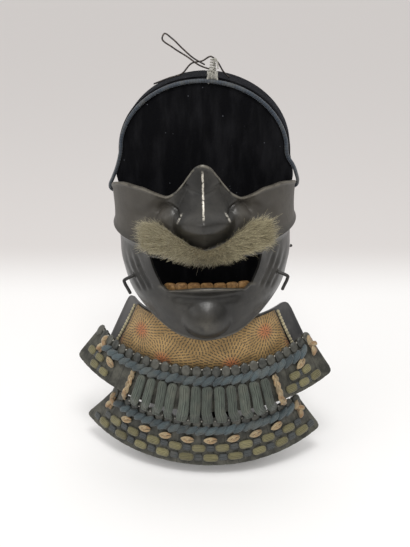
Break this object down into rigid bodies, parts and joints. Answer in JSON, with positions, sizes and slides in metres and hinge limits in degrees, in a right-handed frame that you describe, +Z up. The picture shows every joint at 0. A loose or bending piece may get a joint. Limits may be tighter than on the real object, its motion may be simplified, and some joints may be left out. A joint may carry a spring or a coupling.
{
  "type": "samurai face guard on a velvet display stand",
  "caption": "Iron half-face armour mask with moustache, teeth and laced throat guard, tied by a cord to an arched velvet display stand.",
  "frame": {"origin": "middle of the flat underside of the stand's base", "axes": "+Z up, the face looks along -Y, +X to the right of a viewer who faces it"},
  "size_m": [0.2343, 0.1661, 0.3825],
  "materials": {
    "velvet": "deep-pile black velvet with lint",
    "black_wood": "black-painted wood, satin",
    "iron": "hammered iron under worn dark lacquer, satin",
    "tooth_lacquer": "aged ochre lacquer",
    "hair": "coarse cream animal hair",
    "black_lacquer": "dark lacquered plate, satin",
    "printed_hide": "stencil-printed tawny hide with dark squiggles",
    "stitch_silk": "pale twisted silk edging",
    "board_lacquer": "lacquered hardened leather, dull",
    "blue_silk": "faded dark blue-green braid",
    "cream_silk": "faded cream and orange braid",
    "olive_silk": "faded olive-green silk pads",
    "tie_silk": "slate-blue flat braid",
    "wire": "thin dark coated wire",
    "twine": "grey twisted twine"
  },
  "bodies": {
    "root": {"stand_form": "velvet", "stand_base": "black_wood", "face_plate": "iron", "cord_hook_left": "iron", "cord_hook_right": "iron", "cheek_peg": "iron", "teeth": "tooth_lacquer", "moustache": "hair", "collar_plate": "black_lacquer", "printed_hide": "printed_hide", "hide_edging_left": "stitch_silk", "hide_edging_right": "stitch_silk", "upper_board": "board_lacquer", "lower_board": "board_lacquer", "upper_rope": "blue_silk", "lower_rope": "blue_silk", "tying_cord": "tie_silk", "wire_loop": "wire", "wire_bridge": "wire", "twine_knot": "twine", "lacing_01": "blue_silk", "lacing_02": "blue_silk", "lacing_03": "blue_silk", "lacing_04": "blue_silk", "lacing_05": "blue_silk", "lacing_06": "blue_silk", "lacing_07": "blue_silk", "lacing_08": "blue_silk", "lacing_09": "blue_silk", "lacing_10": "blue_silk", "lacing_11": "blue_silk", "lacing_12": "blue_silk", "cream_lacing_left": "cream_silk", "cream_lacing_right": "cream_silk", "upper_end_braid_left": "cream_silk", "upper_end_braid_right": "cream_silk", "upper_knot_left": "cream_silk", "upper_knot_right": "cream_silk", "lower_end_braid_left": "cream_silk", "lower_end_braid_right": "cream_silk", "cream_knot_1": "cream_silk", "cream_knot_2": "cream_silk", "cream_knot_3": "cream_silk", "cream_knot_4": "cream_silk", "cream_knot_5": "cream_silk", "cream_knot_6": "cream_silk", "cream_knot_7": "cream_silk", "cream_knot_8": "cream_silk", "lower_pads_high": "olive_silk", "lower_pads_low": "olive_silk", "upper_pads_left_high": "olive_silk", "upper_pads_left_low": "olive_silk", "upper_pads_right_high": "olive_silk", "upper_pads_right_low": "olive_silk"}
  },
  "joints": []
}
